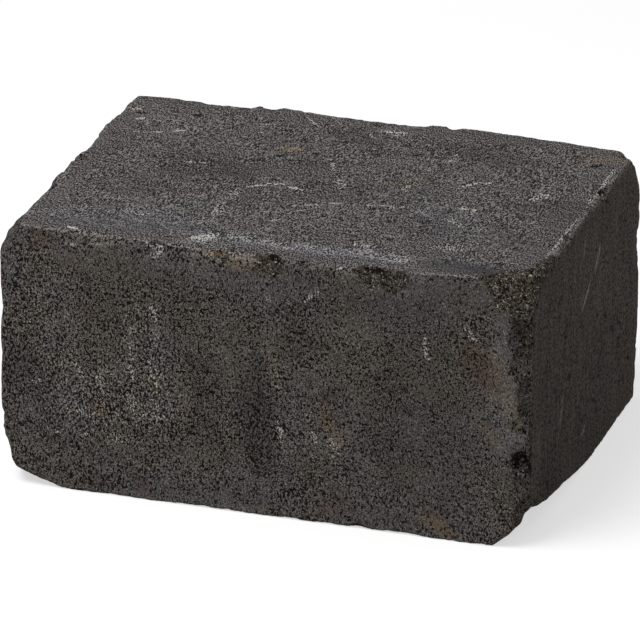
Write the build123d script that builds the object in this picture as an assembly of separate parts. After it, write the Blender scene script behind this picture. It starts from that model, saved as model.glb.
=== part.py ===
"""Tumbled concrete garden wall block.

One solid block of pressed concrete. It leaves the mould square, and tumbling then knocks its corners off,
rubs its arrises down, rounds every edge that is left and breaks small scoops out of the arrises.
Frame: X along the wall face, Y from the wall face to the back, Z up. The origin is the middle of the bed.
"""

import os

from build123d import *

# Size of the block in millimetres
LENGTH = 280.0
DEPTH = 210.0
HEIGHT = 140.0

# Radius that tumbling leaves on every edge
EDGE_RADIUS = 3.0

# Wear at each corner: how far every break runs back from the sharp corner along X, Y and Z.
# A long reach follows an arris, so that break rubs the arris down until it runs out.
CORNER_WEAR = {
    ("left", "front", "top"): [
        (15.0, 34.0, 20.0),
        (4.0, 11.0, 190.0),
        (8.0, 200.0, 9.5),
        (220.0, 8.0, 12.0),
    ],
    ("right", "front", "top"): [(38.0, 30.0, 24.0), (6.0, 11.0, 420.0), (90.0, 14.0, 22.0)],
    ("left", "front", "bottom"): [(9.0, 30.0, 34.0), (17.0, 22.0, 21.0), (35.0, 26.0, 13.0)],
    ("right", "front", "bottom"): [
        (10.0, 30.0, 38.0),
        (19.0, 50.0, 15.0),
        (9.0, 60.0, 24.0),
        (17.0, 132.0, 17.0),
    ],
    ("left", "back", "top"): [(7.0, 9.0, 6.0), (70.0, 6.0, 5.0)],
    ("right", "back", "top"): [(28.0, 13.0, 22.0), (120.0, 10.0, 5.0)],
    ("left", "back", "bottom"): [(26.0, 17.0, 20.0), (14.0, 34.0, 11.0), (7.0, 6.0, 260.0)],
    ("right", "back", "bottom"): [(8.0, 8.0, 8.0), (500.0, 7.0, 9.0)],
}

# Scoops broken out of the arrises: the two faces that meet there, the place along the arris in the block's
# frame, the radius of the break and how deep it bites from the sharp arris
CHIPS = [
    ("front", "top", -100.0, 6.0, 7.4),
    ("front", "top", -54.0, 7.0, 6.6),
    ("front", "top", -20.0, 4.0, 5.4),
    ("front", "top", 7.0, 5.5, 6.6),
    ("front", "top", 24.0, 4.5, 3.8),
    ("front", "top", 60.0, 9.0, 6.4),
    ("front", "top", 70.0, 8.0, 5.6),
    ("right", "front", 112.0, 13.0, 9.4),
    ("right", "front", 98.0, 11.0, 8.6),
    ("right", "front", 66.0, 7.0, 7.6),
    ("right", "front", 47.0, 8.0, 8.2),
    ("right", "front", 35.0, 7.0, 5.6),
    ("right", "top", -30.0, 6.0, 3.2),
    ("right", "top", 38.0, 8.0, 3.6),
    ("back", "top", -64.0, 9.0, 4.4),
    ("back", "top", 38.0, 6.0, 3.6),
    ("left", "top", -42.0, 6.0, 8.2),
    ("left", "top", 1.0, 7.0, 6.8),
    ("left", "bottom", 20.0, 9.0, 4.6),
    ("left", "back", 84.0, 8.0, 6.8),
    ("front", "bottom", 52.0, 7.0, 3.2),
    ("back", "bottom", -30.0, 14.0, 8.6),
]

# Where each face lies on its own axis, and the way into the block from it
FACES = {
    "left": Vector(-LENGTH / 2, 0, 0),
    "right": Vector(LENGTH / 2, 0, 0),
    "front": Vector(0, -DEPTH / 2, 0),
    "back": Vector(0, DEPTH / 2, 0),
    "bottom": Vector(0, 0, 0),
    "top": Vector(0, 0, HEIGHT),
}
INWARD = {
    "left": Vector(1, 0, 0),
    "right": Vector(-1, 0, 0),
    "front": Vector(0, 1, 0),
    "back": Vector(0, -1, 0),
    "bottom": Vector(0, 0, 1),
    "top": Vector(0, 0, -1),
}
MIDDLE = Vector(0, 0, HEIGHT / 2)


def knocked(core, faces, reaches):
    """The core without the corner of three faces, cut so that rounding brings the break to its reaches."""
    corner = sum((FACES[face] for face in faces), Vector(0, 0, 0))
    first, second, third = (corner + INWARD[face] * reach for face, reach in zip(faces, reaches))
    outward = (second - first).cross(third - first).normalized()
    if outward.dot(corner - MIDDLE) < 0:
        outward = -outward
    plane = Plane(origin=first - outward * EDGE_RADIUS, z_dir=outward)
    return split(core, bisect_by=plane, keep=Keep.BOTTOM)


def worn_core():
    """The knocked and rubbed block, one edge radius smaller all round."""
    core = Pos(MIDDLE) * Box(LENGTH - 2 * EDGE_RADIUS, DEPTH - 2 * EDGE_RADIUS, HEIGHT - 2 * EDGE_RADIUS)
    for faces, breaks in CORNER_WEAR.items():
        for reaches in breaks:
            core = knocked(core, faces, reaches)
    return core


def chip(first, second, place, radius, bite):
    """The ball that breaks one scoop out of the arris where two faces meet."""
    inward = INWARD[first] + INWARD[second]
    along = Vector(1, 1, 1) - Vector(abs(inward.X), abs(inward.Y), abs(inward.Z))
    arris = FACES[first] + FACES[second] + along * place
    return Pos(arris - inward.normalized() * (radius - bite)) * Sphere(radius)


def wall_block():
    """The tumbled block: the worn core rounded out to full size, with the scoops broken out."""
    rounded = offset(worn_core(), amount=EDGE_RADIUS, kind=Kind.ARC)
    return rounded - [chip(*scoop) for scoop in CHIPS]


os.makedirs("parts", exist_ok=True)
export_step(wall_block(), "parts/wall_block.step")
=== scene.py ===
"""Dresses the tumbled garden wall block in dark concrete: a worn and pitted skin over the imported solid.

Laid out as an add-on and run as a script. Lengths are in metres, and the relief rules work in millimetres.
"""

import math

import bmesh
import bpy
from bpy.props import FloatProperty, FloatVectorProperty, IntProperty, PointerProperty
from mathutils import Matrix, Vector


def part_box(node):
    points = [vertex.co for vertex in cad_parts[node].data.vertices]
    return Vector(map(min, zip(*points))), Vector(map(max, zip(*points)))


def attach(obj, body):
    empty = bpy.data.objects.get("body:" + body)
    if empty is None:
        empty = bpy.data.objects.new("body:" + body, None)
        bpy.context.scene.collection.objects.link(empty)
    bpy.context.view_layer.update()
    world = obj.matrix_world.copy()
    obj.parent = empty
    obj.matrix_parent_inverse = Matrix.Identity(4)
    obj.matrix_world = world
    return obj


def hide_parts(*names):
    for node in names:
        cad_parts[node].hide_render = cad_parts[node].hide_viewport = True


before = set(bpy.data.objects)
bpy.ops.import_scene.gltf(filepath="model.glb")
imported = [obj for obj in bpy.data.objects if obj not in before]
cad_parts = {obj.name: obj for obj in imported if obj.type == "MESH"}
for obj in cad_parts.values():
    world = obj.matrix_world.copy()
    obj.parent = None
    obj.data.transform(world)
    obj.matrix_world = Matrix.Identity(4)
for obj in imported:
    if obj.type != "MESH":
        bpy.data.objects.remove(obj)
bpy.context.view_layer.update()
LOW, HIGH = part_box("wall_block")
MIDDLE = (LOW + HIGH) / 2
HALF_SIZE = (HIGH - LOW) / 2

bl_info = {
    "name": "Tumbled garden wall block",
    "version": (1, 0, 0),
    "blender": (4, 5, 0),
    "location": "3D View > Sidebar > Wall block",
    "description": "Worn concrete skin, stage and camera for one garden wall block",
    "category": "Object",
}

MM = 0.001

# Side of the photograph in pixels, which the places of the marks are given in
PHOTO_SIDE = 640.0

# Width of the camera's sensor in millimetres
SENSOR_WIDTH = 36.0

# Stage in metres: half the side of the floor, the lamp's width and distance, and how far the camera sees
FLOOR_HALF = 8.0
LAMP_WIDTH = 1.3
LAMP_DISTANCE = 2.2
SEEN_RANGE = 50.0

# The way from the block to the lamp
LAMP_AIM = Vector((-0.30, -0.36, 0.90)).normalized()

# Faces of the block: the axis that each looks along, and its sign
FACES = {
    "left": (0, -1),
    "right": (0, 1),
    "front": (1, -1),
    "back": (1, 1),
    "bottom": (2, -1),
    "top": (2, 1),
}

# Sheet that the six faces are laid out on for baking, in millimetres: side, and the lower left of each face
SHEET_SIDE = 576.0
SHEET_PLACES = {
    "top": (4.0, 4.0),
    "bottom": (4.0, 218.0),
    "right": (4.0, 432.0),
    "front": (288.0, 4.0),
    "back": (288.0, 148.0),
    "left": (288.0, 292.0),
}

# Wear along each arris: how far it crumbles in millimetres, how much it crumbles, how pale it is rubbed and
# how it waves
ARRIS_WEAR = {
    ("front", "top"): (3.0, 0.55, 0.55, 0.6),
    ("right", "front"): (5.0, 0.9, 0.3, 1.0),
    ("right", "top"): (2.6, 0.4, 0.35, 0.7),
    ("back", "top"): (3.0, 0.4, 0.4, 1.0),
    ("left", "top"): (3.4, 0.4, 0.4, 1.0),
    ("left", "front"): (2.6, 0.3, 0.2, 0.8),
    ("front", "bottom"): (2.6, 0.3, 0.2, 0.4),
    ("right", "bottom"): (3.0, 0.3, 0.2, 0.2),
    ("back", "bottom"): (4.0, 0.5, 0.3, 0.6),
    ("left", "bottom"): (3.6, 0.45, 0.3, 0.7),
    ("right", "back"): (3.0, 0.4, 0.3, 0.6),
    ("left", "back"): (4.5, 0.6, 0.3, 1.0),
}

# Corners whose break is still fresh: how far the break runs along each face's own axis, how far along each it
# stays fresh, and how fresh it is
FRESH_CORNERS = {
    ("right", "front", "top"): ((38.0, 30.0, 24.0), (34.0, 900.0, 24.0), 1.0),
    ("right", "front", "bottom"): ((10.0, 30.0, 38.0), (20.0, 40.0, 50.0), 0.8),
    ("left", "back", "bottom"): ((26.0, 17.0, 20.0), (30.0, 20.0, 22.0), 0.8),
}

# Runs and scoops of an arris that are still fresh: start and end along it, how far they reach on the first
# face and on the second in millimetres, and how fresh they are
FRESH_RUNS = [
    ("front", "top", -54.0, -54.0, 6.0, 6.0, 0.3),
    ("front", "top", -19.0, -19.0, 6.0, 4.0, 0.9),
    ("front", "top", 6.0, 8.0, 9.0, 7.0, 1.0),
    ("front", "top", 24.0, 24.0, 5.0, 4.0, 0.4),
    ("front", "top", 59.0, 59.0, 10.0, 8.0, 1.0),
    ("front", "top", 69.0, 72.0, 9.5, 7.0, 0.9),
    ("right", "front", 106.0, 128.0, 12.0, 8.5, 0.9),
    ("right", "front", 88.0, 106.0, 9.0, 7.0, 0.6),
    ("right", "front", 72.0, 88.0, 8.0, 5.0, 0.5),
    ("right", "front", 64.0, 66.0, 7.0, 6.5, 0.35),
    ("right", "front", 46.0, 47.0, 8.0, 8.0, 0.9),
    ("right", "front", 30.0, 40.0, 7.0, 5.0, 0.35),
    ("right", "top", -105.0, -62.0, 8.5, 6.0, 0.9),
    ("right", "top", -30.0, -30.0, 5.0, 5.0, 0.4),
    ("right", "top", 38.0, 38.0, 6.0, 6.0, 0.4),
    ("back", "top", -64.0, -64.0, 7.0, 7.0, 0.5),
    ("back", "top", 38.0, 38.0, 5.0, 5.0, 0.5),
    ("left", "top", -42.0, -42.0, 8.0, 8.0, 0.5),
    ("left", "top", 1.0, 1.0, 7.0, 7.0, 0.5),
    ("left", "bottom", 20.0, 20.0, 8.0, 8.0, 0.6),
    ("left", "back", 84.0, 84.0, 8.0, 8.0, 0.8),
    ("front", "bottom", 52.0, 52.0, 5.0, 5.0, 0.4),
    ("back", "bottom", -30.0, -30.0, 14.0, 14.0, 0.9),
]

# Lumps and hollows that the breaks left: place, reach and how far they move the skin, in millimetres
LUMPS = [
    ((130.5, -102.5, 11.0), 12.0, (1.7, 0.0, 0.8)),
    ((138.0, -89.0, 14.5), 10.0, (-1.9, 0.0, 1.9)),
    ((135.5, -79.0, 10.3), 10.0, (-1.9, 0.0, 1.9)),
    ((133.0, -70.0, 6.1), 10.0, (-1.9, 0.0, 1.9)),
    ((130.4, -61.0, 1.9), 10.0, (-1.9, 0.0, 1.9)),
    ((-134.0, -93.0, 136.0), 12.0, (1.2, 0.0, -0.9)),
    ((-134.5, -82.0, 138.0), 11.0, (1.9, 0.0, -0.8)),
    ((-136.0, -24.0, 138.0), 8.0, (-1.8, 0.0, 0.5)),
    ((-135.0, 3.0, 138.0), 8.0, (2.4, 0.0, -0.8)),
    ((139.0, 91.0, 139.5), 9.5, (-1.0, -0.5, -2.8)),
    ((-64.0, 102.0, 138.0), 12.0, (0.0, 1.0, 2.6)),
]

# Bands along the arrises, from where each starts to where it is full in millimetres: rubbed pale, waving and
# swollen
PALE_BAND = (4.2, 1.8)
WAVE_BAND = (16.0, 3.0)
SWELL_BAND = (22.0, 8.0)

# Share of a lump's reach over which it has its full height
LUMP_CORE = 0.3

# Share of the places for a pit that carry one, on the ends, the wall faces and the beds
PIT_SHARES = (0.04, 0.30, 0.10)

# How far in millimetres one seed moves the noises that make the wear
SEED_STEP = 37.0

# Rays that lay the skin on the solid: how far outside they start, and their length
RAY_START = 10.0 * MM
RAY_LENGTH = 90.0 * MM

# Moulded grid, in steps of its spacing: reach of the finer corners, width of the finer bands along the
# arrises, and the length from which an edge in them is still whole
CORNER_STEPS = 10.2
BAND_STEPS = 2.1
WHOLE_EDGE_STEPS = 0.7

# Width in millimetres from which the skin's grid is fine enough to carry a mark
BROAD = 4.5

# Noise that sways the outlines of broad marks and of thin ones: waves to the millimetre, roughness, and its
# reach in millimetres
BROAD_SWAY = (0.10, 0.7, 9.0)
THIN_SWAY = (0.30, 0.75, 4.5)

# Soft edge of a mark, as its distance from the middle squared: where it starts and where it is full
MARK_EDGE = 1.3
MARK_CORE = 0.1

# How far a mark runs past its two ends, in widths
MARK_OVERRUN = 0.4

# How squarely a point has to look along a face's axis to start to take its marks, and to take them in full
MARKS_START = 0.35
MARKS_FULL = 0.75

# Row that fills up a group of three marks: it lies far from every point and has no strength
NO_MARK = (0.0, 0.0, 9.0, 0.0, 0.0, 9.0, 0.0)

# Pale rubbed marks of each face: start and end in photograph pixels, width in millimetres, strength
PALE_SCUFFS = {
    "top": [
        (131, 131, 170, 131, 1.3, 0.55),
        (168, 131, 190, 129, 1.5, 0.9),
        (133, 107, 146, 112, 5.0, 0.4),
        (135, 119, 144, 118, 3.2, 0.78),
        (180, 161, 214, 162, 1.8, 0.5),
        (133, 213, 155, 214, 3.0, 0.45),
        (212, 217, 226, 200, 10.0, 0.33),
        (222, 200, 240, 188, 7.0, 0.42),
        (247, 186, 268, 184, 2.2, 1.0),
        (266, 183, 288, 184, 2.0, 0.95),
        (287, 186, 302, 190, 2.6, 0.65),
        (291, 205, 330, 204, 1.5, 0.65),
        (326, 203, 345, 202, 2.4, 0.6),
        (350, 204, 400, 206, 1.4, 0.8),
        (292, 211, 322, 207, 1.7, 0.6),
        (386, 208, 410, 206, 1.3, 0.6),
        (270, 221, 283, 217, 3.0, 0.6),
        (331, 158, 334, 170, 3.0, 0.38),
        (337, 176, 345, 190, 7.0, 0.35),
        (305, 115, 320, 128, 1.5, 0.6),
        (368, 133, 378, 140, 1.3, 0.7),
        (384, 131, 404, 134, 6.0, 0.8),
        (261, 123, 270, 124, 3.0, 0.4),
        (258, 132, 264, 131, 2.0, 0.45),
        (450, 163, 459, 152, 2.6, 0.45),
        (462, 186, 480, 183, 3.2, 0.65),
        (484, 184, 498, 181, 2.6, 0.42),
        (532, 199, 550, 194, 8.0, 0.5),
        (458, 206, 478, 212, 6.0, 0.6),
        (446, 218, 462, 226, 8.0, 0.4),
        (428, 246, 470, 249, 8.0, 0.35),
        (400, 192, 420, 180, 6.0, 0.35),
        (69, 227, 77, 228, 3.6, 0.95),
        (194, 238, 214, 236, 12.0, 0.72),
        (216, 232, 262, 240, 9.0, 0.28),
        (352, 243, 374, 246, 6.0, 0.5),
        (384, 262, 408, 260, 6.0, 0.45),
        (541, 264, 583, 212, 2.2, 0.4),
        (583, 212, 620, 163, 3.0, 0.4),
    ],
    "front": [
        (152, 303, 154, 322, 4.2, 0.6),
        (128, 322, 131, 334, 3.0, 0.4),
        (154, 330, 158, 348, 4.0, 0.3),
        (130, 345, 132, 362, 3.0, 0.4),
        (149, 352, 158, 398, 6.0, 0.6),
        (129, 366, 132, 380, 3.6, 0.75),
        (130, 392, 133, 414, 5.0, 0.6),
        (133, 412, 162, 422, 7.0, 0.45),
        (152, 404, 164, 420, 7.0, 0.6),
        (76, 362, 82, 378, 3.0, 0.4),
        (95, 372, 104, 396, 3.0, 0.5),
        (60, 404, 106, 416, 6.0, 0.45),
        (56, 432, 60, 432, 1.8, 0.75),
        (84, 432, 88, 434, 2.2, 0.9),
        (32, 381, 42, 380, 3.0, 0.5),
        (110, 437, 122, 443, 3.0, 0.5),
        (274, 355, 280, 395, 5.0, 0.35),
        (277, 415, 281, 444, 3.2, 0.75),
        (312, 432, 316, 446, 4.0, 0.45),
        (328, 436, 334, 454, 5.0, 0.6),
        (424, 335, 428, 364, 4.0, 0.45),
        (464, 328, 477, 343, 4.0, 0.52),
        (300, 304, 319, 290, 2.0, 0.7),
        (266, 294, 272, 301, 3.6, 0.5),
        (142, 245, 153, 255, 1.4, 0.8),
        (152, 250, 160, 252, 2.0, 1.0),
        (153, 254, 160, 255, 2.4, 1.0),
        (285, 258, 290, 259, 2.8, 1.0),
        (335, 270, 350, 266, 1.3, 0.8),
    ],
    "right": [
        (601, 246, 595.5, 271, 4.0, 1.0),
        (591.5, 278, 583, 312, 4.0, 1.0),
        (566, 384, 559, 440, 3.0, 0.7),
        (586, 236, 584, 258, 2.6, 0.7),
        (588, 420, 582, 436, 3.0, 0.7),
    ],
}

# Sandy and ochre stains
OCHRE_STAINS = {
    "top": [
        (280, 148, 306, 149, 6.0, 1.0),
        (586, 160, 624, 160, 16.0, 0.4),
        (580, 164, 590, 160, 5.0, 0.5),
        (380, 186, 424, 178, 9.0, 0.25),
    ],
    "front": [
        (190, 252, 224, 256, 2.6, 0.9),
        (228, 262, 262, 266, 8.0, 0.65),
        (282, 256, 288, 252, 2.4, 0.8),
        (150, 376, 160, 396, 6.0, 0.6),
        (62, 408, 76, 412, 5.0, 0.6),
        (92, 402, 104, 414, 6.0, 0.8),
        (270, 350, 282, 400, 8.0, 0.35),
        (324, 404, 336, 450, 7.0, 0.5),
        (492, 330, 516, 440, 12.0, 0.14),
        (422, 516, 452, 536, 9.0, 0.5),
        (478, 420, 500, 450, 8.0, 0.3),
        (180, 396, 190, 428, 6.0, 0.3),
        (486, 284, 510, 300, 7.0, 0.45),
        (505, 290, 511, 302, 3.2, 0.9),
    ],
    "right": [
        (538, 276, 541, 286, 4.0, 1.0),
        (529, 421, 529, 430, 7.0, 0.6),
    ],
}

# Rusty and reddish stains
RUST_STAINS = {
    "front": [
        (83, 300, 87, 325, 5.0, 0.5),
        (88, 312, 96, 318, 6.0, 0.6),
        (464, 348, 492, 384, 15.0, 0.6),
        (428, 508, 446, 532, 10.0, 0.5),
        (322, 512, 350, 498, 10.0, 0.45),
        (320, 394, 338, 398, 6.0, 0.45),
        (90, 474, 97, 482, 7.0, 0.5),
        (130, 472, 146, 494, 10.0, 0.5),
        (30, 238, 50, 244, 7.0, 0.5),
        (60, 258, 76, 266, 7.0, 0.35),
        (150, 376, 162, 392, 5.0, 0.5),
    ],
    "right": [
        (524, 336, 527, 352, 4.0, 0.5),
    ],
}

# Patches where the mould left a closed, smoother skin
CLOSED_PATCHES = {
    "top": [
        (425, 262, 500, 272, 18.0, 1.0),
        (60, 218, 190, 228, 22.0, 0.7),
        (500, 230, 540, 258, 24.0, 0.6),
    ],
    "front": [
        (508, 320, 508, 440, 20.0, 1.0),
        (492, 430, 512, 452, 14.0, 0.9),
        (484, 290, 508, 320, 18.0, 0.95),
        (60, 258, 200, 272, 16.0, 0.75),
        (200, 276, 330, 290, 18.0, 0.65),
        (320, 286, 480, 306, 24.0, 0.85),
        (356, 310, 400, 330, 24.0, 0.45),
        (430, 340, 450, 480, 60.0, 0.32),
        (340, 400, 360, 480, 50.0, 0.25),
        (30, 474, 60, 484, 14.0, 0.6),
        (100, 488, 300, 508, 16.0, 0.5),
        (300, 506, 480, 528, 18.0, 0.6),
        (500, 476, 516, 500, 18.0, 0.7),
        (380, 480, 480, 500, 44.0, 0.35),
        (225, 320, 245, 400, 24.0, 0.4),
    ],
}

# Patches where the skin is open: deep pores between light grains
OPEN_PATCHES = {
    "front": [
        (60, 396, 160, 408, 46.0, 1.0),
        (135, 320, 158, 420, 34.0, 0.9),
        (30, 290, 60, 420, 50.0, 0.5),
        (225, 415, 280, 440, 30.0, 0.4),
        (300, 420, 334, 450, 26.0, 0.4),
    ],
}

# Broad darker shades of the concrete, and on the right end painted shade that darkens it more towards the
# bottom
DARK_PATCHES = {
    "top": [
        (180, 160, 240, 172, 42.0, 0.7),
        (345, 132, 380, 142, 26.0, 0.6),
        (440, 146, 540, 166, 34.0, 0.65),
        (420, 262, 500, 272, 16.0, 1.0),
        (520, 205, 590, 215, 40.0, 0.45),
        (300, 185, 420, 200, 40.0, 0.3),
        (400, 218, 440, 232, 26.0, 0.5),
        (110, 178, 160, 188, 26.0, 0.35),
        (300, 160, 330, 166, 20.0, 0.4),
    ],
    "front": [
        (252, 372, 262, 470, 24.0, 0.9),
        (292, 263, 350, 270, 6.0, 0.8),
        (14, 350, 40, 392, 24.0, 0.6),
        (290, 330, 300, 350, 26.0, 0.4),
        (200, 350, 212, 440, 18.0, 0.4),
        (380, 380, 400, 480, 34.0, 0.45),
        (100, 296, 110, 320, 18.0, 0.4),
        (420, 340, 440, 470, 60.0, 0.35),
        (330, 300, 470, 320, 30.0, 0.3),
    ],
    # Painted shade on the right end, stronger towards its bottom
    "right": [
        (545, 340, 625, 360, 60.0, 0.25),
        (540, 400, 600, 440, 50.0, 0.5),
        (545, 470, 555, 480, 40.0, 0.8),
    ],
}

# Broad lighter shades of the concrete, and on the right end painted light near its top
LIGHT_PATCHES = {
    "top": [
        (205, 236, 420, 260, 14.0, 0.95),
        (194, 239, 216, 237, 14.0, 1.0),
        (384, 131, 404, 134, 10.0, 1.0),
        (280, 148, 306, 149, 6.0, 1.0),
        (130, 105, 210, 130, 30.0, 0.35),
    ],
    "front": [
        (504, 330, 510, 450, 18.0, 0.55),
        (40, 300, 150, 430, 70.0, 0.2),
        (50, 238, 140, 246, 6.0, 0.7),
    ],
    "right": [
        (529, 420, 529, 456, 9.0, 1.0),
        # Painted light near the top of the right end
        (570, 262, 615, 285, 40.0, 0.22),
    ],
}

# Bluish patches of a denser, smoother skin: on the beds a lighter bluish grey painted in as a sheen, the
# reflection of the sky on that skin, and on the wall faces a cooler grey tone
COOL_AND_SHEEN_PATCHES = {
    "top": [
        (50, 212, 200, 224, 34.0, 0.9),
        (196, 232, 262, 240, 20.0, 0.9),
        (270, 244, 420, 262, 20.0, 1.0),
        (425, 262, 495, 268, 16.0, 1.0),
        (130, 200, 220, 205, 24.0, 0.5),
        (420, 200, 470, 240, 40.0, 0.5),
    ],
    "front": [
        (12, 340, 30, 430, 26.0, 0.7),
        (240, 400, 270, 450, 20.0, 0.6),
        (505, 326, 512, 342, 10.0, 0.4),
        (470, 440, 486, 470, 24.0, 0.5),
    ],
}

# Dents, cracks and holes, darkened with painted shade in their hollows
SHADED_DENTS = {
    "top": [
        (194, 115, 203, 114, 3.2, 1.0),
        (414, 155, 422, 154, 3.0, 1.0),
        (272, 156, 288, 155, 4.0, 0.7),
        (590, 167, 602, 165, 4.0, 1.0),
        (343, 142, 346, 141, 2.6, 0.8),
        (312, 153, 316, 153, 2.8, 1.0),
        (137, 112, 147, 113, 3.2, 1.0),
        (373, 124, 381, 126, 3.0, 0.8),
    ],
    "front": [
        (252, 405, 259, 414, 2.2, 1.0),
        (258, 413, 253, 418, 1.2, 0.7),
        (253, 418, 249, 432, 1.6, 0.8),
        (296, 328, 299, 336, 1.6, 0.5),
        (389, 440, 393, 452, 2.0, 0.7),
        (163, 246, 165, 250, 2.0, 1.0),
        (517, 458, 527, 470, 7.0, 1.0),
        (266, 258, 280, 262, 8.0, 1.0),
        (277, 258, 274, 269, 5.0, 1.0),
        (364, 271, 380, 277, 6.0, 0.8),
        (378, 280, 388, 286, 3.0, 0.8),
    ],
    "right": [
        (528.5, 456, 530, 472, 8.0, 1.0),
        (568.2, 377, 571.2, 377.8, 4.0, 1.0),
        (611.8, 328, 613.8, 328.5, 3.6, 1.0),
        (617.8, 339, 619.8, 339.5, 3.4, 0.9),
        (627.8, 357, 628.8, 357.5, 3.4, 0.9),
        (596.8, 315, 598.8, 315.5, 2.8, 1.0),
        (603.8, 316, 607.0, 316.8, 3.2, 1.0),
        (592.0, 400, 596.6, 400.8, 2.6, 0.9),
    ],
}


def length(name, description, millimetres, **limits):
    """A length that a user may change, with its default in millimetres"""
    default = millimetres * MM
    return FloatProperty(name=name, description=description, default=default, unit="LENGTH", **limits)


def angle(name, description, degrees):
    """An angle that a user may change, with its default in degrees"""
    return FloatProperty(name=name, description=description, default=math.radians(degrees), subtype="ANGLE")


def colour(name, description, default):
    """A colour that a user may change"""
    return FloatVectorProperty(name=name, description=description, default=default, subtype="COLOR")


class WallBlockShape(bpy.types.PropertyGroup):
    """Sizes of the block's skin and of the relief that tumbling leaves on it"""

    face_step: length("Face grid", "Spacing of the skin's grid on the flat of a face", 2.9, min=1.0 * MM)
    arris_cuts: IntProperty(
        name="Arris cuts",
        description="How many times the grid is cut again along the arrises",
        default=3,
        min=0,
        max=4,
    )
    fan_depth: length(
        "Fan depth", "How far in from the faces the lines lie that the skin is drawn towards", 45.0
    )
    rolling: length("Rolling", "How deep the slow waves of the faces are", 0.5)
    edge_rolling: length("Edge rolling", "How deep the slow waves along the arrises are", 1.6)
    grain: length("Grain", "How deep the open grain of the concrete is", 0.35)
    pit_depth: length("Pit depth", "How deep the larger pits are", 1.1)
    pit_spacing: length("Pit spacing", "How far apart the places are where a pit may be", 7.0)
    crumble: length(
        "Crumble", "How deep the grains are broken out of the arrises and the fresh corners", 2.2
    )
    swell: length("Swell", "How far the arrises stand out before they are worn", 0.9)
    seed: IntProperty(
        name="Seed",
        description="Another number gives another block of the same wear",
        default=3,
    )


class WallBlockConcrete(bpy.types.PropertyGroup):
    """Colours of the concrete"""

    wall_colour: colour("Wall face", "Brown grey of the two wall faces", (0.0905, 0.079, 0.0688))
    wall_cool_colour: colour(
        "Wall face, cool", "Cooler grey that clouds the wall faces", (0.080, 0.074, 0.072)
    )
    bed_colour: colour("Bed", "Grey of the two bed faces", (0.083, 0.0758, 0.0735))
    # Painted sheen: a lighter bluish grey that stands in for the reflection of the sky on the smoother beds
    # near the wall face
    bed_sheen_colour: colour(
        "Bed, painted sheen", "Bluish grey where the beds are rubbed close to the wall face", (0.088, 0.085, 0.0885)
    )
    # Painted shade in part: the ends are much darker than the other faces, for their smooth finish and for
    # the shade on the end turned away from the lamp
    end_and_shade_colour: colour("End", "Dark grey of the two smooth ends", (0.0383, 0.0322, 0.0272))
    # Painted shade: a near black that stands in for the shade inside the pores, pits, dents and holes
    pore_shade_colour: colour("Pore", "Near black of the open pores", (0.004, 0.004, 0.004))
    break_colour: colour("Fresh break", "Dark grey of freshly broken concrete", (0.0585, 0.0482, 0.0385))
    scuff_colour: colour("Scuff", "Pale grey of rubbed grains", (0.520, 0.500, 0.465))
    ochre_colour: colour("Ochre", "Sandy yellow of stained grains", (0.250, 0.180, 0.105))
    rust_colour: colour("Rust", "Reddish brown of rusty stains", (0.105, 0.058, 0.040))


class WallBlockStage(bpy.types.PropertyGroup):
    """Camera, light and floor"""

    view_turn: angle(
        "View turn", "How far the camera stands round from the wall face towards the right end", 18.73
    )
    view_drop: angle("View drop", "How steeply the camera looks down", 22.31)
    view_roll: angle("View roll", "How far the camera leans over", -0.33)
    view_distance: FloatProperty(
        name="View distance",
        description="From the camera to the middle of the block",
        default=2.598,
        unit="LENGTH",
    )
    view_aside: length("View aside", "How far to the right of the block's middle the camera aims", -2.38)
    view_above: length("View above", "How far above the block's middle the camera aims", -3.94)
    lens: FloatProperty(
        name="Lens",
        description="Focal length of the camera in millimetres on its 36 mm sensor",
        default=281.9,
    )
    key_power: FloatProperty(
        name="Key lamp",
        description="Power of the large soft lamp above the block, in watts",
        default=33.0,
    )
    sky_strength: FloatProperty(
        name="Sky",
        description="Strength of the even light from all round",
        default=0.45,
    )
    floor_colour: colour("Floor", "Colour of the floor as it is seen", (0.5, 0.5, 0.5))
    floor_glow: FloatProperty(
        name="Floor white",
        description="How much of the white of the floor is there without light",
        default=0.58,
    )
    bounce_colour: colour(
        "Floor bounce", "Colour of the floor as it throws light back on the block", (0.42, 0.42, 0.42)
    )


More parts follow.
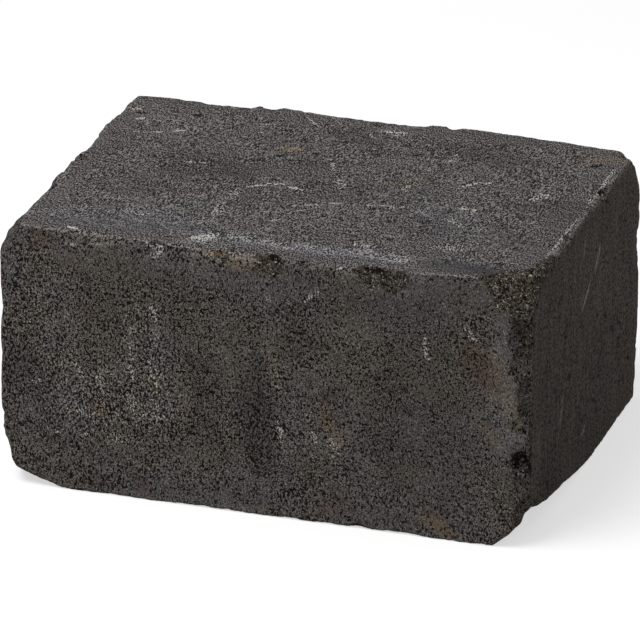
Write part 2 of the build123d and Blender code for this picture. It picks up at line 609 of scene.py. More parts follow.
class Nodes:
    """Writes a node tree as if it were sums: most calls add one node and give back the output that matters"""

    def __init__(self, tree):
        self.tree = tree

    def feed(self, socket, value):
        """Links a socket to a value, or sets it"""
        if isinstance(value, bpy.types.NodeSocket):
            self.tree.links.new(value, socket)
        else:
            socket.default_value = value

    def add(self, kind, inputs=None, **settings):
        """A node with its settings and inputs"""
        node = self.tree.nodes.new(kind)
        for name, value in settings.items():
            setattr(node, name, value)
        for key, value in (inputs or {}).items():
            self.feed(node.inputs[key], value)
        return node

    def sum(self, operation, *values, clamp=False):
        """A Math node"""
        node = self.add("ShaderNodeMath", dict(enumerate(values)), operation=operation, use_clamp=clamp)
        return node.outputs[0]

    def times(self, first, second):
        """One number times another"""
        return self.sum("MULTIPLY", first, second)

    def times_plus(self, first, second, third):
        """One number times another, and a third added"""
        return self.sum("MULTIPLY_ADD", first, second, third)

    def plus(self, first, second, clamp=False):
        """One number and another"""
        return self.sum("ADD", first, second, clamp=clamp)

    def minus(self, first, second, clamp=False):
        """One number less another"""
        return self.sum("SUBTRACT", first, second, clamp=clamp)

    def larger(self, first, second, clamp=False):
        """The larger of two numbers"""
        return self.sum("MAXIMUM", first, second, clamp=clamp)

    def vector(self, operation, *values):
        """A Vector Math node"""
        return self.add("ShaderNodeVectorMath", dict(enumerate(values)), operation=operation).outputs[0]

    def scaled(self, vector, factor):
        """A vector times a number"""
        return self.add("ShaderNodeVectorMath", {0: vector, "Scale": factor}, operation="SCALE").outputs[0]

    def length(self, vector):
        """The length of a vector"""
        return self.add("ShaderNodeVectorMath", {0: vector}, operation="LENGTH").outputs["Value"]

    def parts(self, vector):
        """The three numbers of a vector"""
        return self.add("ShaderNodeSeparateXYZ", {0: vector}).outputs

    def joined(self, x, y, z):
        """A vector from three numbers"""
        return self.add("ShaderNodeCombineXYZ", {0: x, 1: y, 2: z}).outputs[0]

    def ramp(self, value, start, end, low=0.0, high=1.0):
        """A soft step from low at start to high at end"""
        inputs = {"Value": value, "From Min": start, "From Max": end, "To Min": low, "To Max": high}
        return self.add("ShaderNodeMapRange", inputs, interpolation_type="SMOOTHSTEP").outputs[0]

    def noise(self, place, scale, detail=2.0, roughness=0.5):
        """Soft noise from 0 to 1, with one scale or with one for each axis"""
        if isinstance(scale, tuple):
            place = self.vector("MULTIPLY", place, scale)
            scale = 1.0
        inputs = {"Vector": place, "Scale": scale, "Detail": detail, "Roughness": roughness}
        return self.add("ShaderNodeTexNoise", inputs).outputs[0]

    def cells(self, place, scale):
        """Random cells: the distance to the nearest middle, and the colour of that cell"""
        node = self.add("ShaderNodeTexVoronoi", {"Vector": place, "Scale": scale})
        return node.outputs["Distance"], self.parts(node.outputs["Color"])[0]

    def most(self, values):
        """The largest of several numbers"""
        best = values[0]
        for value in values[1:]:
            best = self.larger(best, value)
        return best

    def total(self, values):
        """The sum of several numbers"""
        result = values[0]
        for value in values[1:]:
            result = self.plus(result, value)
        return result

    def mix(self, factor, first, second, blend="MIX"):
        """One colour laid over another"""
        node = self.add("ShaderNodeMix", data_type="RGBA", blend_type=blend)
        for index, value in ((0, factor), (6, first), (7, second)):
            if not isinstance(value, (bpy.types.NodeSocket, float)):
                value = (*value, 1.0)
            self.feed(node.inputs[index], value)
        return node.outputs[2]


def view_axes(stage):
    """Right, forward and up of the camera"""
    turn = Matrix.Rotation(-stage.view_turn, 3, "Z")
    drop = Matrix.Rotation(stage.view_drop, 3, "X")
    roll = Matrix.Rotation(stage.view_roll, 3, "Y")
    looks = roll @ drop @ turn
    return looks[0], looks[1], looks[2]


def view_place(stage):
    """Where the camera stands"""
    right, forward, up = view_axes(stage)
    aim = MIDDLE + right * stage.view_aside + up * stage.view_above
    return aim - forward * stage.view_distance


def seen_at(stage, face, across, down):
    """The point of a face that shows at a pixel of the photograph"""
    right, forward, up = view_axes(stage)
    focal = stage.lens / SENSOR_WIDTH * PHOTO_SIDE
    ray = forward + right * ((across - PHOTO_SIDE / 2) / focal) + up * ((PHOTO_SIDE / 2 - down) / focal)
    axis, sign = FACES[face]
    level = HIGH[axis] if sign > 0 else LOW[axis]
    start = view_place(stage)
    return start + ray * ((level - start[axis]) / ray[axis])


def insets(place):
    """How far a point of the sharp block lies from the nearest face, arris and corner, in that order"""
    return sorted(HALF_SIZE[axis] - abs(place[axis] - MIDDLE[axis]) for axis in range(3))


def cut_edges(grid, cuts, chosen):
    """Cuts every chosen edge of the grid, and the faces between them"""
    edges = [edge for edge in grid.edges if chosen(edge)]
    if edges and cuts > 0:
        bmesh.ops.subdivide_edges(grid, edges=edges, cuts=cuts, use_grid_fill=True)


def lay_out(grid):
    """Gives the grid its bake sheet: six plain rectangles, one for each face"""
    layer = grid.loops.layers.uv.new("OFBake")
    for face in grid.faces:
        axis = max(range(3), key=lambda number: abs(face.normal[number]))
        sign = 1 if face.normal[axis] > 0 else -1
        side = next(name for name, looks in FACES.items() if looks == (axis, sign))
        left, below = SHEET_PLACES[side]
        first, second = [number for number in range(3) if number != axis]
        for loop in face.loops:
            place = (loop.vert.co - LOW) / MM
            loop[layer].uv = ((left + place[first]) / SHEET_SIDE, (below + place[second]) / SHEET_SIDE)


def moulded_grid(shape):
    """The sharp block as it leaves the mould: a closed grid, finer along the arrises and at the corners"""
    grid = bmesh.new()
    bmesh.ops.create_cube(grid, size=1.0)
    size = HIGH - LOW
    for point in grid.verts:
        point.co = MIDDLE + Vector(point.co[axis] * size[axis] for axis in range(3))
    for axis in range(3):
        cuts = round(size[axis] / shape.face_step) - 1
        cut_edges(grid, cuts, lambda edge: abs((edge.verts[0].co - edge.verts[1].co)[axis]) > MM)
    corner = CORNER_STEPS * shape.face_step
    cut_edges(grid, 1, lambda edge: max(insets(point.co)[2] for point in edge.verts) < corner)
    band = BAND_STEPS * shape.face_step
    long_edge = WHOLE_EDGE_STEPS * shape.face_step
    near = [edge for edge in grid.edges if max(insets(point.co)[1] for point in edge.verts) < band]
    whole = [edge for edge in near if edge.calc_length() > long_edge]
    halved = [edge for edge in near if edge.calc_length() <= long_edge]
    bmesh.ops.subdivide_edges(grid, edges=whole, cuts=shape.arris_cuts, use_grid_fill=True)
    halved = [edge for edge in halved if edge.is_valid]
    bmesh.ops.subdivide_edges(grid, edges=halved, cuts=1, use_grid_fill=True)
    many_sided = [face for face in grid.faces if len(face.verts) > 4]
    bmesh.ops.triangulate(grid, faces=many_sided)
    grid.normal_update()
    lay_out(grid)
    mesh = bpy.data.meshes.new("moulded_block")
    grid.to_mesh(mesh)
    grid.free()
    return mesh


# Kinds of the relief's inputs that are no plain numbers
RELIEF_KINDS = {"Solid": "NodeSocketObject", "Seed": "NodeSocketInt", "Concrete": "NodeSocketMaterial"}


def mark_rows(stage, face, marks):
    """What places each mark of a face: the slopes and starts of its two axes, and its strength"""
    rows = []
    first, second = [axis for axis in range(3) if axis != FACES[face][0]]
    for from_x, from_y, to_x, to_y, width, strength in marks:
        start = seen_at(stage, face, from_x, from_y) / MM
        end = seen_at(stage, face, to_x, to_y) / MM
        middle = Vector(((start[first] + end[first]) / 2, (start[second] + end[second]) / 2))
        along = Vector((end[first] - start[first], end[second] - start[second]))
        half_length = along.length / 2 + width * MARK_OVERRUN
        along.normalize()
        x_axis = along / half_length
        y_axis = Vector((-along.y, along.x)) / (width / 2)
        in_length = (x_axis.x, x_axis.y, -x_axis.dot(middle))
        in_width = (y_axis.x, y_axis.y, -y_axis.dot(middle))
        rows.append((*in_length, *in_width, strength))
    return rows


def scuffs(broad):
    """The pale marks that are broad enough for the skin's grid, or those that are too thin"""
    chosen = {}
    for face, marks in PALE_SCUFFS.items():
        chosen[face] = [mark for mark in marks if (mark[4] >= BROAD) == broad]
    return chosen


def marked(n, stage, flat, marks):
    """How strongly the marks cover a point: soft ovals, worked out three at a time in a vector's parts"""
    masks = []
    for face, (across, up, shown) in flat.items():
        rows = mark_rows(stage, face, marks.get(face, []))
        cover = None
        for number in range(0, len(rows), 3):
            three = rows[number : number + 3]
            three += [NO_MARK] * (3 - len(three))
            columns = [Vector(column) for column in zip(*three)]
            x_across, x_up, x_start, y_across, y_up, y_start, strength = columns
            x_place = n.vector("MULTIPLY_ADD", across, x_across, n.vector("MULTIPLY_ADD", up, x_up, x_start))
            y_place = n.vector("MULTIPLY_ADD", across, y_across, n.vector("MULTIPLY_ADD", up, y_up, y_start))
            away = n.vector("MULTIPLY_ADD", y_place, y_place, n.vector("MULTIPLY", x_place, x_place))
            oval = n.add("ShaderNodeMapRange", data_type="FLOAT_VECTOR", interpolation_type="SMOOTHSTEP")
            settings = {
                "Vector": away,
                "From_Min_FLOAT3": Vector([MARK_EDGE] * 3),
                "From_Max_FLOAT3": Vector([MARK_CORE] * 3),
                "To_Min_FLOAT3": Vector([0.0] * 3),
                "To_Max_FLOAT3": strength,
            }
            for name, value in settings.items():
                n.feed(by_identifier(oval.inputs, name), value)
            found = by_identifier(oval.outputs, "Vector")
            cover = found if cover is None else n.vector("MAXIMUM", cover, found)
        if cover is not None:
            masks.append(n.times(n.most(list(n.parts(cover))), shown))
    return n.total(masks)


def by_identifier(sockets, name):
    """The socket of that identifier"""
    return next(socket for socket in sockets if socket.identifier == name)


def swayed(n, place, spot, scale, roughness, reach):
    """A place moved about by the noise of a spot, which gives the marks laid out there ragged outlines"""
    inputs = {"Vector": spot, "Scale": scale, "Detail": 3.0, "Roughness": roughness}
    sway = n.add("ShaderNodeTexNoise", inputs)
    both_ways = n.vector("SUBTRACT", sway.outputs["Color"], (0.5, 0.5, 0.5))
    return n.vector("ADD", place, n.scaled(both_ways, reach))


def flat_places(n, place, side):
    """For each marked face, its two directions in millimetres and how far a point lies on it.

    The face behind takes the same marks, turned upside down."""
    parts = n.parts(place)
    looks = n.parts(side)
    middle = MIDDLE / MM
    flat = {}
    for face in ("top", "front", "right"):
        axis, sign = FACES[face]
        first, second = [number for number in range(3) if number != axis]
        turned = n.sum("SIGN", n.times(looks[axis], float(sign)))
        across = n.times(parts[first], turned)
        up = n.minus(parts[second], middle[second])
        up = n.times_plus(up, turned, middle[second])
        shown = n.ramp(n.sum("ABSOLUTE", looks[axis]), MARKS_START, MARKS_FULL)
        flat[face] = (n.joined(across, across, across), n.joined(up, up, up), shown)
    return flat


def relief_tree(stage, names):
    """Geometry Nodes that draw the moulded grid down on the solid, wear it and note its broad marks"""
    tree = bpy.data.node_groups.new("Tumbled relief", "GeometryNodeTree")
    tree.interface.new_socket("Geometry", in_out="INPUT", socket_type="NodeSocketGeometry")
    for name in names:
        kind = RELIEF_KINDS.get(name, "NodeSocketFloat")
        tree.interface.new_socket(name, in_out="INPUT", socket_type=kind)
    tree.interface.new_socket("Geometry", in_out="OUTPUT", socket_type="NodeSocketGeometry")
    n = Nodes(tree)
    given = n.add("NodeGroupInput").outputs
    place = n.add("GeometryNodeInputPosition").outputs[0]

    # The way in from each point: towards an inner box, so that the skin fans out over the corners
    half = n.scaled(n.joined(given["Length"], given["Depth"], given["Height"]), 0.5)
    middle = n.joined(0.0, 0.0, n.times(given["Height"], 0.5))
    inner = n.vector("SUBTRACT", half, n.joined(given["Fan Depth"], given["Fan Depth"], given["Fan Depth"]))
    outer = n.vector("SUBTRACT", place, middle)
    held = n.vector("MAXIMUM", n.vector("MINIMUM", outer, inner), n.scaled(inner, -1.0))
    inward = n.vector("NORMALIZE", n.vector("SUBTRACT", held, outer))

    # The skin laid on the solid, with the way each point looked before it was worn
    solid = n.add("GeometryNodeObjectInfo", {"Object": given["Solid"]}, transform_space="ORIGINAL")
    ray = n.add(
        "GeometryNodeRaycast",
        {
            "Target Geometry": solid.outputs["Geometry"],
            "Source Position": n.vector("SUBTRACT", place, n.scaled(inward, RAY_START)),
            "Ray Direction": inward,
            "Ray Length": RAY_LENGTH,
        },
    )
    looks = n.add(
        "GeometryNodeStoreNamedAttribute",
        {"Geometry": given["Geometry"], "Name": "side", "Value": ray.outputs["Hit Normal"]},
        data_type="FLOAT_VECTOR",
        domain="POINT",
    )
    laid = n.add(
        "GeometryNodeSetPosition",
        {
            "Geometry": looks.outputs[0],
            "Selection": ray.outputs["Is Hit"],
            "Position": ray.outputs["Hit Position"],
        },
    )

    # Places and distances in millimetres
    to_mm = 1.0 / MM
    shift = n.times(given["Seed"], SEED_STEP)
    place_mm = n.scaled(place, to_mm)
    spot = n.vector("ADD", place_mm, n.joined(shift, shift, shift))
    furthest = n.parts(n.scaled(half, to_mm))
    across = n.parts(n.scaled(outer, to_mm))
    inside = {}
    for name, (axis, sign) in FACES.items():
        inside[name] = n.minus(furthest[axis], n.times(across[axis], float(sign)))
    side = n.add("GeometryNodeInputNamedAttribute", {"Name": "side"}, data_type="FLOAT_VECTOR").outputs[0]
    faced = n.parts(n.vector("ABSOLUTE", side))

    # Noises that the wear is made of
    ragged = n.minus(n.noise(spot, 0.16, 3.0, 0.6), 0.5)
    grit = n.noise(spot, 0.55, 2.0, 0.6)
    frayed = n.times_plus(n.minus(grit, 0.5), 0.6, ragged)
    lump = n.cells(spot, 0.30)[1]
    slow = n.noise(spot, 0.035, 2.0, 0.5)
    quick = n.noise(spot, 0.26, 3.0, 0.6)
    stretch = n.ramp(n.noise(spot, 0.055, 1.0, 0.5), 0.36, 0.56, 0.15, 1.0)

    # Crumbled arrises, with the light line that rubbing leaves on them
    crumbled = []
    pale = []
    waved = []
    near = []
    for (first, second), (far, share, rubbed, wave) in ARRIS_WEAR.items():
        away = n.larger(inside[first], inside[second])
        torn = n.times_plus(ragged, 14.0, away)
        crumbled.append(n.times(n.ramp(torn, far, far * 0.35, 0.0, share), stretch))
        pale.append(n.ramp(n.times_plus(ragged, 7.0, away), *PALE_BAND, 0.0, rubbed))
        waved.append(n.ramp(away, *WAVE_BAND, 0.0, wave))
        near.append(n.ramp(away, *SWELL_BAND))

    # Fresh breaks at corners and in scoops
    fresh = []
    for corner, (facet, lasting, share) in FRESH_CORNERS.items():
        on_facet = n.total([n.sum("DIVIDE", inside[name], far) for name, far in zip(corner, facet)])
        lasts = n.total([n.sum("DIVIDE", inside[name], far) for name, far in zip(corner, lasting)])
        cut = n.ramp(n.times_plus(ragged, 0.4, on_facet), 1.16, 1.06)
        still = n.ramp(n.times_plus(ragged, 0.8, lasts), 1.1, 0.85, 0.0, share)
        fresh.append(n.times(cut, still))
    for first, second, start, finish, on_first, on_second, share in FRESH_RUNS:
        centre = Vector([(start + finish) / 2] * 3)
        shrink = Vector([2.0 / (on_first + on_second)] * 3)
        for name, far in ((first, on_second), (second, on_first)):
            axis, sign = FACES[name]
            centre[axis] = (HIGH[axis] if sign > 0 else LOW[axis]) / MM
            shrink[axis] = 1.0 / far
        run = 3 - FACES[first][0] - FACES[second][0]
        apart = list(n.parts(n.vector("MULTIPLY", n.vector("SUBTRACT", place_mm, centre), shrink)))
        half_run = (finish - start) / 2 * shrink[run]
        apart[run] = n.larger(n.minus(n.sum("ABSOLUTE", apart[run]), half_run), 0.0)
        torn = n.times_plus(frayed, 1.5, n.length(n.joined(*apart)))
        fresh.append(n.ramp(torn, 1.0, 0.75, 0.0, share))
    broken = n.most(fresh)
    loosened = n.most([*crumbled, broken])

    # Larger pits, most of them on the wall faces
    dimple, chance = n.cells(spot, n.sum("DIVIDE", MM, given["Pit Spacing"]))
    shares = n.total([n.times(part, share) for part, share in zip(faced, PIT_SHARES)])
    picked = n.ramp(chance, n.minus(1.0, shares), n.minus(1.04, shares))
    pit = n.times(n.ramp(dimple, 0.34, 0.10), picked)

    # Depth of all the wear together
    slow_edge = n.times(n.ramp(slow, 0.42, 0.66), n.most(waved))
    loose = n.total([n.times(n.sum("POWER", lump, 2.0), 0.75), n.times(grit, 0.45)])
    depth = n.total(
        [
            n.times(n.ramp(slow, 0.35, 0.70), given["Rolling"]),
            n.times(slow_edge, given["Edge Rolling"]),
            n.times(n.ramp(quick, 0.35, 0.75), given["Grain"]),
            n.times(pit, given["Pit Depth"]),
            n.times(n.times(loosened, given["Crumble"]), loose),
        ]
    )

    # What the material needs to know of each point, broad marks among it
    flat = flat_places(n, swayed(n, place_mm, spot, *BROAD_SWAY), side)
    notes = {
        "broken": broken,
        "pale": n.most(pale),
        "pit": pit,
        "cloud": n.noise(spot, 0.022, 4.0, 0.6),
        "mottle": n.noise(spot, 0.085, 3.0, 0.6),
        "rubbed": marked(n, stage, flat, scuffs(True)),
        "sandy": marked(n, stage, flat, OCHRE_STAINS),
        "rusty": marked(n, stage, flat, RUST_STAINS),
        "closed": marked(n, stage, flat, CLOSED_PATCHES),
        "open": marked(n, stage, flat, OPEN_PATCHES),
        "dark": marked(n, stage, flat, DARK_PATCHES),
        "light": marked(n, stage, flat, LIGHT_PATCHES),
        "cool": marked(n, stage, flat, COOL_AND_SHEEN_PATCHES),
    }
    kept = laid.outputs[0]
    for name, value in notes.items():
        kept = n.add(
            "GeometryNodeStoreNamedAttribute",
            {"Geometry": kept, "Name": name, "Value": value},
            data_type="FLOAT",
            domain="POINT",
        ).outputs[0]
    moved = n.scaled(inward, n.times(depth, MM))
    for centre, reach, push in LUMPS:
        apart = n.length(n.vector("SUBTRACT", place_mm, centre))
        share = n.ramp(apart, reach, reach * LUMP_CORE)
        moved = n.vector("ADD", moved, n.scaled(Vector(push) * MM, share))
    moved = n.vector("SUBTRACT", moved, n.scaled(inward, n.times(n.most(near), given["Swell"])))
    least = n.joined(n.times(given["Length"], -0.5), n.times(given["Depth"], -0.5), 0.0)
    most = n.joined(n.times(given["Length"], 0.5), n.times(given["Depth"], 0.5), given["Height"])
    final = n.vector("MINIMUM", n.vector("MAXIMUM", n.vector("ADD", place, moved), least), most)
    tumbled = n.add("GeometryNodeSetPosition", {"Geometry": kept, "Position": final})
    smooth = n.add("GeometryNodeSetShadeSmooth", {"Geometry": tumbled.outputs[0]})
    real = n.add("GeometryNodeRealizeInstances", {"Geometry": smooth.outputs[0]})
    finish = n.add("GeometryNodeSetMaterial", {"Geometry": real.outputs[0], "Material": given["Concrete"]})
    n.add("NodeGroupOutput", {"Geometry": finish.outputs[0]})
    return tree


def concrete_material(concrete, stage):
    """Dark through-coloured concrete, with the finish of each face, its wear and its marks"""
    material = bpy.data.materials.new("Tumbled concrete")
    material.use_nodes = True
    tree = material.node_tree
    tree.nodes.clear()
    n = Nodes(tree)

    def noted(name):
        """A number that the skin carries"""
        return n.add("ShaderNodeAttribute", attribute_name=name).outputs["Fac"]

    # Place in millimetres, and how much a point belongs to an end, a bed, or a wall face or arris
    spot = n.scaled(n.add("ShaderNodeTexCoord").outputs["Object"], 1.0 / MM)
    side = n.add("ShaderNodeAttribute", attribute_name="side").outputs["Vector"]
    faced = n.parts(n.vector("ABSOLUTE", side))
    end = n.ramp(faced[0], 0.90, 0.97)
    bed = n.ramp(faced[2], 0.72, 0.88)
    wall = n.minus(1.0, n.plus(end, bed), clamp=True)
    mottle = noted("mottle")
    cloud = noted("cloud")
    cool = noted("cool")

    # Thin marks, with a ragged outline
    flat = flat_places(n, swayed(n, spot, spot, *THIN_SWAY), side)
    scuffed = marked(n, stage, flat, scuffs(False))
    scuffed = n.larger(scuffed, n.times(noted("rubbed"), 0.8))
    dents = marked(n, stage, flat, SHADED_DENTS)

    # Grain of each face
    wall_grain = n.noise(spot, (1.9, 1.9, 1.5), 0.0, 0.5)
    wall_hole = n.noise(spot, (0.85, 0.85, 0.62), 2.0, 0.65)
    speck = n.noise(spot, (1.35, 1.35, 1.1), 0.0, 0.5)
    fresh = n.ramp(n.times_plus(n.minus(wall_hole, 0.5), 0.9, noted("broken")), 0.22, 0.62)
    bed_grain = n.noise(spot, (1.65, 0.62, 1.65), 0.6, 0.5)
    bed_drag = n.noise(spot, (0.07, 0.42, 0.42), 2.0, 0.6)
    end_grain = n.noise(spot, (0.8, 0.55, 0.8), 2.0, 0.65)
    end_pit = n.noise(spot, 0.45, 2.0, 0.6)
    end_drag = n.noise(spot, (0.40, 0.24, 0.03), 2.0, 0.7)

    # Open pores: fewer where the skin is closed
    open_skin = noted("open")
    shut = n.plus(noted("closed"), n.ramp(mottle, 0.50, 0.66, 0.0, 0.5), clamp=True)
    even = n.times_plus(shut, -0.5, 1.0)
    limit = n.times_plus(shut, -0.08, n.times_plus(open_skin, 0.02, 0.472))
    wall_pore = n.ramp(wall_hole, limit, n.minus(limit, 0.03))
    bed_limit = n.times_plus(shut, -0.06, 0.49)
    bed_pore = n.ramp(bed_grain, bed_limit, n.minus(bed_limit, 0.11), 0.0, 0.95)
    end_pore = n.ramp(end_pit, 0.35, 0.30, 0.0, 0.85)
    pores = [n.times(share, part) for share, part in ((wall_pore, wall), (bed_pore, bed), (end_pore, end))]
    ragged = n.larger(n.ramp(wall_hole, 0.66, 0.40, 0.3, 1.2), end)
    dented = n.ramp(n.times(dents, ragged), 0.28, 0.58)
    pore = n.most([n.total(pores), n.times(noted("pit"), 0.5), dented])

    # Raised grains catch the light
    light_limit = n.times_plus(open_skin, -0.05, 0.62)
    light = n.ramp(speck, light_limit, n.plus(light_limit, 0.10))
    raised = n.total(
        [
            n.times(n.times(n.ramp(wall_grain, 0.34, 0.66, -0.55, 1.25), even), wall),
            n.times(n.times(light, n.times_plus(open_skin, 1.2, 1.2)), wall),
            n.times(n.times(n.ramp(bed_grain, 0.51, 0.68, 0.0, 2.05), even), bed),
            n.times(n.ramp(bed_drag, 0.40, 0.65, -0.12, 0.25), bed),
            n.times(n.ramp(end_grain, 0.36, 0.64, -0.85, 1.50), end),
            n.times(n.ramp(end_pit, 0.36, 0.64, -0.30, 0.35), end),
            n.times(n.ramp(end_drag, 0.36, 0.66, -0.20, 0.36), end),
        ]
    )

    # Colour of each face
    cooled = n.larger(cool, n.ramp(cloud, 0.42, 0.62))
    wall_tone = n.mix(cooled, concrete.wall_colour, concrete.wall_cool_colour)
    # Painted sheen on the beds where the cool patches lie
    bed_tone = n.mix(cool, concrete.bed_colour, concrete.bed_sheen_colour)
    tone = n.mix(bed, wall_tone, bed_tone)
    # The ends take their darker grey, partly painted shade
    tone = n.mix(end, tone, concrete.end_and_shade_colour)
    broad = n.total([0.30, n.times(cloud, 0.60), n.times(mottle, 0.60), raised])
    tinted = n.total([1.0, n.times(noted("dark"), -0.40), n.times(noted("light"), 0.5)])
    # Painted shade: wall faces and chamfers that look up are darkened, to hold back the extra light they get
    # from above
    upward_painted_shade = n.times(n.ramp(n.parts(side)[2], 0.1, 0.6, 0.0, -0.28), wall)
    shade = n.times(broad, n.plus(tinted, upward_painted_shade))
    tone = n.mix(1.0, tone, n.joined(shade, shade, shade), "MULTIPLY")

    # Stains lie in the skin, scuffs on its high grains
    grain = n.total([n.times(wall_grain, wall), n.times(bed_grain, bed), n.times(0.6, end)])
    high = n.ramp(grain, 0.36, 0.60)
    tone = n.mix(n.times(noted("rusty"), n.ramp(high, 0.0, 1.0, 0.3, 0.8)), tone, concrete.rust_colour)
    sandy = n.times(noted("sandy"), n.ramp(speck, 0.42, 0.58, 0.2, 1.0))
    tone = n.mix(sandy, tone, concrete.ochre_colour)

    # Broken concrete: dark and open, with pale and sandy grains in it
    uneven = n.ramp(speck, 0.36, 0.64, 0.45, 1.75)
    break_tone = n.mix(1.0, concrete.break_colour, n.joined(uneven, uneven, uneven), "MULTIPLY")
    tone = n.mix(n.times(fresh, 0.85), tone, break_tone)
    hole = n.times(n.ramp(wall_hole, 0.475, 0.43), fresh)
    pore = n.larger(pore, n.times(hole, 0.95))
    chip_tone = n.mix(n.ramp(wall_grain, 0.44, 0.60), concrete.ochre_colour, concrete.scuff_colour)
    chip = n.ramp(n.noise(spot, 0.75, 2.0, 0.7), 0.59, 0.65)
    chip = n.times(chip, n.larger(fresh, noted("pale")))

    # Rubbed arrises and scuffs
    rim = n.times(n.ramp(faced[2], 0.62, 0.78), n.ramp(faced[2], 0.99, 0.91, 0.0, 0.75))
    line = n.times(n.larger(noted("pale"), rim), n.ramp(wall_hole, 0.42, 0.64, 0.04, 0.38))
    line = n.times(line, n.minus(1.0, fresh))
    worn_off = n.minus(0.65, n.times(scuffed, n.times_plus(bed, 0.14, 0.33)))
    rubbed = n.total([n.times(speck, n.minus(1.0, bed)), n.times(bed_grain, bed)])
    scuff = n.times(n.ramp(rubbed, worn_off, n.plus(worn_off, 0.08)), n.ramp(scuffed, 0.05, 0.35))
    scuff = n.times(scuff, n.ramp(wall_hole, 0.42, n.times_plus(bed, -0.06, 0.59), 0.25, 1.0))
    streak = n.times(scuffed, n.ramp(end_grain, 0.36, 0.60, 0.12, 0.34))
    scuff = n.plus(n.times(scuff, n.minus(1.0, end)), n.times(streak, end))
    tone = n.mix(n.larger(scuff, line, clamp=True), tone, concrete.scuff_colour)
    # Painted shade: pores, pits, dents and the holes of the breaks take the near black pore colour for the
    # shade in their hollows
    tone = n.mix(n.times(pore, n.times_plus(scuff, -0.6, 0.97)), tone, concrete.pore_shade_colour)
    tone = n.mix(n.times(chip, 0.85), tone, chip_tone)

    # Fine relief in millimetres
    relief = n.total(
        [
            n.times(pore, -0.30),
            n.times(grain, 0.40),
            n.times(n.times(end_grain, end), 0.3),
            n.times(n.times(wall_hole, fresh), 0.9),
        ]
    )
    bump = n.add("ShaderNodeBump", {"Height": relief, "Strength": 0.8, "Distance": MM})
    rough = n.times_plus(n.larger(end, cool), -0.13, 0.95)
    surface = n.add(
        "ShaderNodeBsdfPrincipled",
        {"Base Color": tone, "Roughness": rough, "Normal": bump.outputs[0], "Specular IOR Level": 0.05},
    )
    n.add("ShaderNodeOutputMaterial", {"Surface": surface.outputs[0]})
    return material


class WALLBLOCK_OT_block(bpy.types.Operator):
    """Lays the worn concrete skin over the solid block"""

    bl_idname = "wallblock.block"
    bl_label = "Tumbled block"

    def execute(self, context):
        shape = context.scene.wall_block_shape
        material = concrete_material(context.scene.wall_block_concrete, context.scene.wall_block_stage)
        piece = bpy.data.objects.new("tumbled_block", moulded_grid(shape))
        context.scene.collection.objects.link(piece)
        size = HIGH - LOW
        values = {
            "Solid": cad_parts["wall_block"],
            "Length": size.x,
            "Depth": size.y,
            "Height": size.z,
            "Fan Depth": shape.fan_depth,
            "Rolling": shape.rolling / MM,
            "Edge Rolling": shape.edge_rolling / MM,
            "Grain": shape.grain / MM,
            "Pit Depth": shape.pit_depth / MM,
            "Pit Spacing": shape.pit_spacing,
            "Crumble": shape.crumble / MM,
            "Swell": shape.swell,
            "Seed": shape.seed,
            "Concrete": material,
        }
        tree = relief_tree(context.scene.wall_block_stage, values)
        modifier = piece.modifiers.new("Tumbled relief", "NODES")
        modifier.node_group = tree
        for socket in tree.interface.items_tree:
            if socket.in_out == "INPUT" and socket.name in values:
                modifier[socket.identifier] = values[socket.name]
        evaluated = piece.evaluated_get(context.evaluated_depsgraph_get())
        skin = bpy.data.meshes.new_from_object(evaluated)
        piece.modifiers.clear()
        piece.data = skin
        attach(piece, "root")
        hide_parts("wall_block")
        return {"FINISHED"}


def seen_ray(n):
    """1 for what is seen, straight, mirrored or through glass, and 0 for light on its way to the block"""
    path = n.add("ShaderNodeLightPath").outputs
    return n.total([path["Is Camera Ray"], path["Is Glossy Ray"], path["Is Transmission Ray"]])


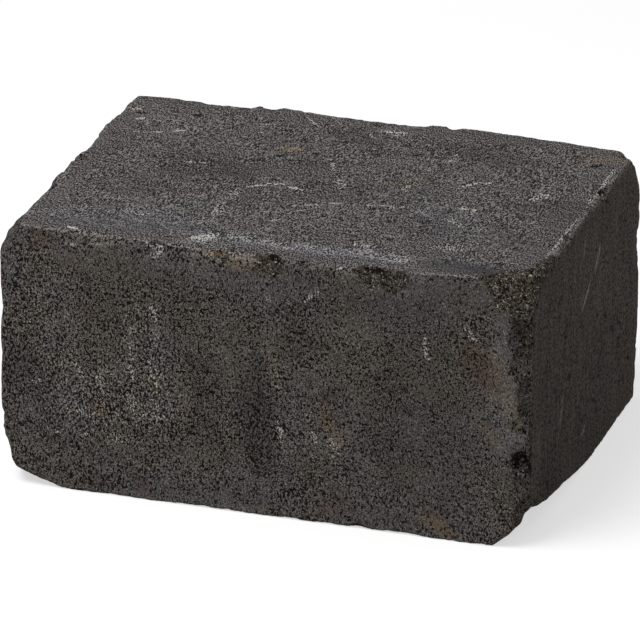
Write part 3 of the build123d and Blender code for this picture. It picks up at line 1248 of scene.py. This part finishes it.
class WALLBLOCK_OT_stage(bpy.types.Operator):
    """Sets up the floor, the light and the camera"""

    bl_idname = "wallblock.stage"
    bl_label = "Stage"

    def execute(self, context):
        scene = context.scene
        stage = scene.wall_block_stage
        scene.view_settings.view_transform = "Standard"

        plate = bpy.data.meshes.new("floor")
        grid = bmesh.new()
        bmesh.ops.create_grid(grid, x_segments=4, y_segments=4, size=FLOOR_HALF)
        grid.to_mesh(plate)
        grid.free()
        floor = bpy.data.objects.new("floor", plate)
        scene.collection.objects.link(floor)
        paint = bpy.data.materials.new("Studio floor")
        paint.use_nodes = True
        paint.node_tree.nodes.clear()
        n = Nodes(paint.node_tree)
        seen = n.sum("MINIMUM", seen_ray(n), 1.0)
        matt = n.add("ShaderNodeBsdfDiffuse", {"Color": n.mix(seen, stage.bounce_colour, stage.floor_colour)})
        glow = n.add("ShaderNodeEmission", {"Strength": n.times(seen, stage.floor_glow)})
        both = n.add("ShaderNodeAddShader", {0: matt.outputs[0], 1: glow.outputs[0]})
        n.add("ShaderNodeOutputMaterial", {"Surface": both.outputs[0]})
        plate.materials.append(paint)

        world = bpy.data.worlds.new("Studio")
        world.use_nodes = True
        world.node_tree.nodes.clear()
        n = Nodes(world.node_tree)
        strength = n.ramp(seen_ray(n), 0.0, 1.0, stage.sky_strength, 1.0)
        sky = n.add("ShaderNodeBackground", {"Color": (1.0, 1.0, 1.0, 1.0), "Strength": strength})
        n.add("ShaderNodeOutputWorld", {"Surface": sky.outputs[0]})
        scene.world = world

        lamp = bpy.data.lights.new("key", "AREA")
        lamp.shape = "DISK"
        lamp.size = LAMP_WIDTH
        lamp.energy = stage.key_power
        key = bpy.data.objects.new("key", lamp)
        key.location = MIDDLE + LAMP_AIM * LAMP_DISTANCE
        key.rotation_euler = LAMP_AIM.to_track_quat("Z", "Y").to_euler()
        scene.collection.objects.link(key)

        lens = bpy.data.cameras.new("camera")
        lens.sensor_width = SENSOR_WIDTH
        lens.lens = stage.lens
        lens.clip_end = SEEN_RANGE
        camera = bpy.data.objects.new("camera", lens)
        right, forward, up = view_axes(stage)
        pose = Matrix((right, up, -forward)).transposed().to_4x4()
        pose.translation = view_place(stage)
        camera.matrix_world = pose
        scene.collection.objects.link(camera)
        scene.camera = camera
        return {"FINISHED"}


class WALLBLOCK_PT_panel(bpy.types.Panel):
    """Lists the block, its concrete and its stage"""

    bl_idname = "WALLBLOCK_PT_panel"
    bl_label = "Garden wall block"
    bl_space_type = "VIEW_3D"
    bl_region_type = "UI"
    bl_category = "Wall block"

    def draw(self, context):
        layout = self.layout
        layout.operator("wallblock.block")
        layout.operator("wallblock.stage")
        for group in (
            context.scene.wall_block_shape,
            context.scene.wall_block_concrete,
            context.scene.wall_block_stage,
        ):
            box = layout.box()
            for name in group.__annotations__:
                box.prop(group, name)


CLASSES = (
    WallBlockShape,
    WallBlockConcrete,
    WallBlockStage,
    WALLBLOCK_OT_block,
    WALLBLOCK_OT_stage,
    WALLBLOCK_PT_panel,
)


def register():
    """Makes the sizes, colours, operators and panel known to Blender"""
    for item in CLASSES:
        bpy.utils.register_class(item)
    bpy.types.Scene.wall_block_shape = PointerProperty(type=WallBlockShape)
    bpy.types.Scene.wall_block_concrete = PointerProperty(type=WallBlockConcrete)
    bpy.types.Scene.wall_block_stage = PointerProperty(type=WallBlockStage)


def unregister():
    """Takes them out again"""
    del bpy.types.Scene.wall_block_stage
    del bpy.types.Scene.wall_block_concrete
    del bpy.types.Scene.wall_block_shape
    for item in reversed(CLASSES):
        bpy.utils.unregister_class(item)


def main():
    """Builds the block and its stage"""
    register()
    bpy.ops.wallblock.block()
    bpy.ops.wallblock.stage()


if __name__ == "__main__":
    main()
